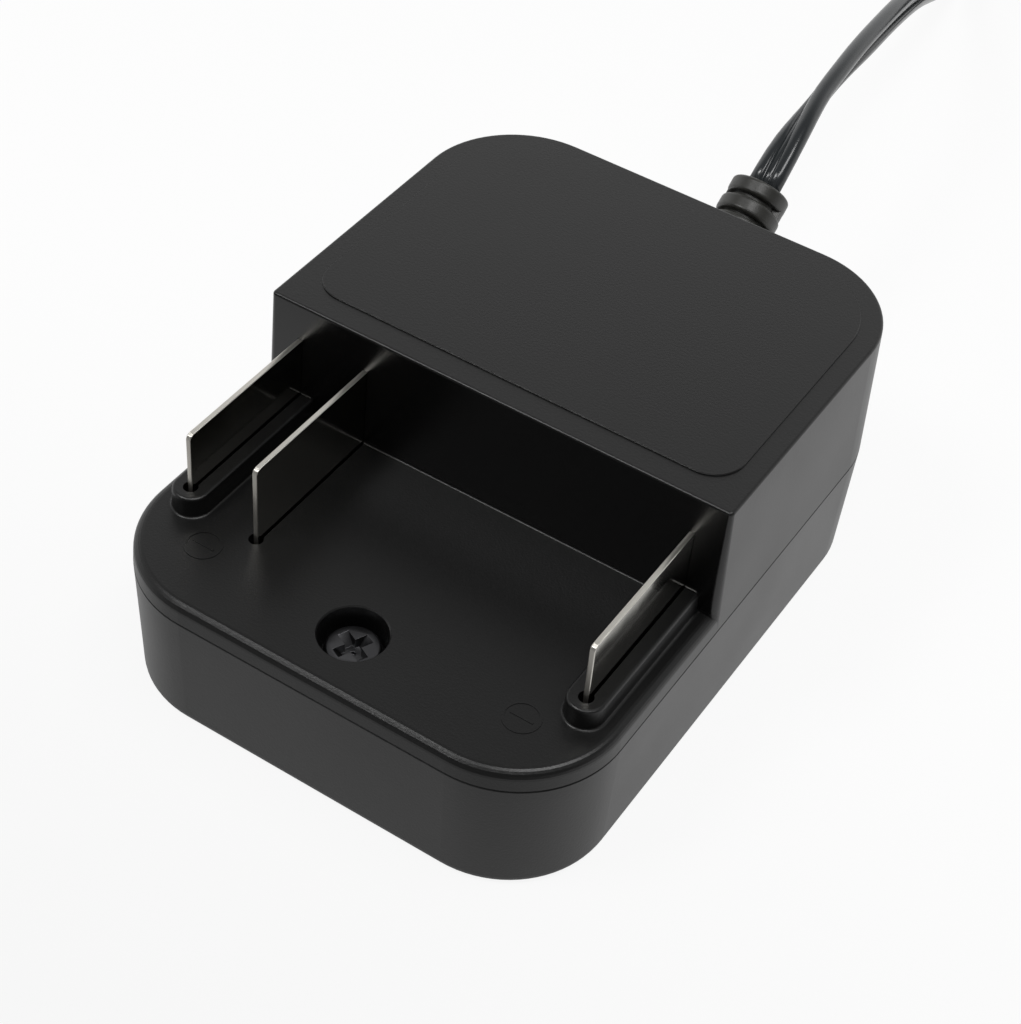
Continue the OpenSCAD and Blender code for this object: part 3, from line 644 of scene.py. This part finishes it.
# %% Put the finishes on the pieces
FINISHES = {
    "upper_shell": abs_upper, "lower_shell": abs_lower,
    "board_screws": zinc, "circuit_board": solder_mask,
    "capacitor": sleeve_film, "power_diode": epoxy, "charge_chip": epoxy,
    "fuse": amber, "sense_resistor": tan_lacquer, "pull_up_resistor": blue_lacquer,
    "positive_wire": red_vinyl, "negative_wire": black_vinyl,
    "strain_relief": boot_vinyl, "plug_grip": boot_vinyl,
    "plug_sleeve": plug_nickel, "plug_contact": plug_nickel, "plug_insulator": epoxy,
}


# A blade's face looks along X, and a face that turns further away is an edge.
FACE_ON = 0.8


def finish_with(piece, material):
    """Give the piece this material and no other."""
    piece.data.materials.clear()
    piece.data.materials.append(material)


def mark_sheared_highlight(blade):
    """The narrow faces of a blade, left by the shears, get the second slot: the rougher
    metal with its paler colour, a painted highlight.
    """
    blade.data.materials.append(sheared_edge_highlight)
    for face in blade.data.polygons:
        face.material_index = int(abs(face.normal.x) < FACE_ON)


for name, material in FINISHES.items():
    finish_with(nodes[name], material)
made_here = [(lead, vinyl), (strap, strap_weave), (screw, oxide)]
made_here += [(blade, nickel) for blade in blades]
for piece, material in made_here:
    finish_with(piece, material)
# The narrow faces get the paler metal: a painted highlight on the blade edges.
for blade in blades:
    mark_sheared_highlight(blade)
print("finished", len(FINISHES) + len(made_here), "pieces")

# %% [markdown]
# ## Floor and light
# A dark, slightly glossy thing is lit by what it reflects: the pale table on its
# walls, a pale backdrop low behind it on its top, and a lamp, up on the left in
# front, on its rounded edges. A long lamp overhead draws the bright lines along
# the lead. The rest of the room is dim. The front of the table is painted darker,
# a painted shade, which gives the rounded edges a dark line under the bright one.
# Lamps strong enough to make the table white would grey the dock, so the table
# glows, but only for the camera and in reflections.

# %% Floor
FLOOR_SIZE, FLOOR_DROP = 30, 0.02
# In metres along Y: the table's colour is darkened, a painted shade, up to the first and
# pale from the second.
DIM_UP_TO, PALE_FROM = -0.12, 0.03
bpy.ops.object.select_all(action="DESELECT")
bpy.ops.mesh.primitive_plane_add(size=FLOOR_SIZE, location=(0, 0, -FLOOR_DROP * MM))
floor = bpy.context.object
floor.name = "floor"
floor_paint, floor_tree, floor_shader = new_material("pale_table", Roughness=0.9)
place = add_node(floor_tree, "TexCoord").outputs["Object"]
depth_way = add_node(floor_tree, "SeparateXYZ", [("Vector", place)])
lit = add_node(floor_tree, "MapRange", [("Value", depth_way.outputs["Y"])],
               interpolation_type="SMOOTHSTEP", From_Min=DIM_UP_TO, From_Max=PALE_FROM)
# Darker towards the front: a painted shade in the table's colour.
paint = add_node(floor_tree, "Mix", [("Factor", lit.outputs["Result"]),
                                     ("A", linear("#6c6c6c")),
                                     ("B", linear("#f4f4f4"))], data_type="RGBA")
floor_tree.links.new(paint.outputs["Result"], floor_shader.inputs["Base Color"])
print("floor", floor.name, "with", len(floor_tree.nodes), "nodes")

# %% The table's glow
# How much of the glow the camera sees, and how much a reflection does.
SEEN_GLOW, MIRRORED_GLOW = 0.9, 0.65
glow = add_node(floor_tree, "Emission", Color=(1, 1, 1, 1), Strength=1.0)
rays = add_node(floor_tree, "LightPath")
mirrored = add_node(floor_tree, "Math", [(0, rays.outputs["Is Glossy Ray"]),
                                         (1, rays.outputs["Is Transmission Ray"])],
                    operation="ADD")
where_pale = add_node(floor_tree, "Math", [(0, mirrored.outputs[0]),
                                           (1, lit.outputs["Result"])],
                      operation="MULTIPLY")
softened = add_node(floor_tree, "Math", [(0, where_pale.outputs[0]),
                                         (1, MIRRORED_GLOW)], operation="MULTIPLY")
seen = add_node(floor_tree, "Math", [(0, rays.outputs["Is Camera Ray"]),
                                     (1, SEEN_GLOW), (2, softened.outputs[0])],
                operation="MULTIPLY_ADD")
mix = add_node(floor_tree, "MixShader", [(0, seen.outputs[0]),
                                         (1, floor_shader.outputs["BSDF"]),
                                         (2, glow.outputs["Emission"])])
floor_tree.links.new(mix.outputs["Shader"],
                     floor_tree.nodes["Material Output"].inputs["Surface"])
finish_with(floor, floor_paint)
print("floor with its glow:", len(floor_tree.nodes), "nodes")

# %% Lamps
def soft_lamp(name, place, aim, size, watts):
    """A rectangular lamp at place that shines at aim; lengths are in metres."""
    data = bpy.data.lights.new(name, "AREA")
    data.shape = "RECTANGLE"
    data.size, data.size_y = size
    data.energy = watts
    lamp = add_object(name, data)
    way = (Vector(aim) - Vector(place)).to_track_quat("-Z", "Y")
    lamp.location, lamp.rotation_euler = place, way.to_euler()
    return lamp


lamps = [
    soft_lamp("front_left_lamp", (-0.31, -0.37, 0.76), (0, 0, 0.02), (0.26, 0.26), 2.3),
    soft_lamp("strip_lamp", (0.24, -0.06, 0.86), (0, 0.02, 0.02), (0.7, 0.22), 3.6),
]
print("lamps:", [lamp.name for lamp in lamps])

# %% The room
ROOM_LEVEL, BACKDROP_LEVEL = 0.16, 1.0
# The dot product with TO_BACKDROP says how near a direction is to the backdrop:
# the room's level starts to rise at BACKDROP_EDGE and is full at 0.
TO_BACKDROP, BACKDROP_EDGE = (-0.3, 0.5, -1.0), -0.5
world = bpy.data.worlds.new("room")
bpy.context.scene.world = world
world.use_nodes = True
sky = world.node_tree
way = add_node(sky, "TexCoord").outputs["Generated"]
low_behind = add_node(sky, "VectorMath", [(0, way), (1, TO_BACKDROP)],
                      operation="DOT_PRODUCT")
level = add_node(sky, "MapRange", [("Value", low_behind.outputs["Value"])],
                 From_Min=BACKDROP_EDGE, From_Max=0.0,
                 To_Min=ROOM_LEVEL, To_Max=BACKDROP_LEVEL)
room = sky.nodes["Background"]
room.inputs["Color"].default_value = (1, 1, 1, 1)
sky.links.new(level.outputs["Result"], room.inputs["Strength"])
bpy.context.scene.view_settings.view_transform = "Standard"
print("room:", world.name)
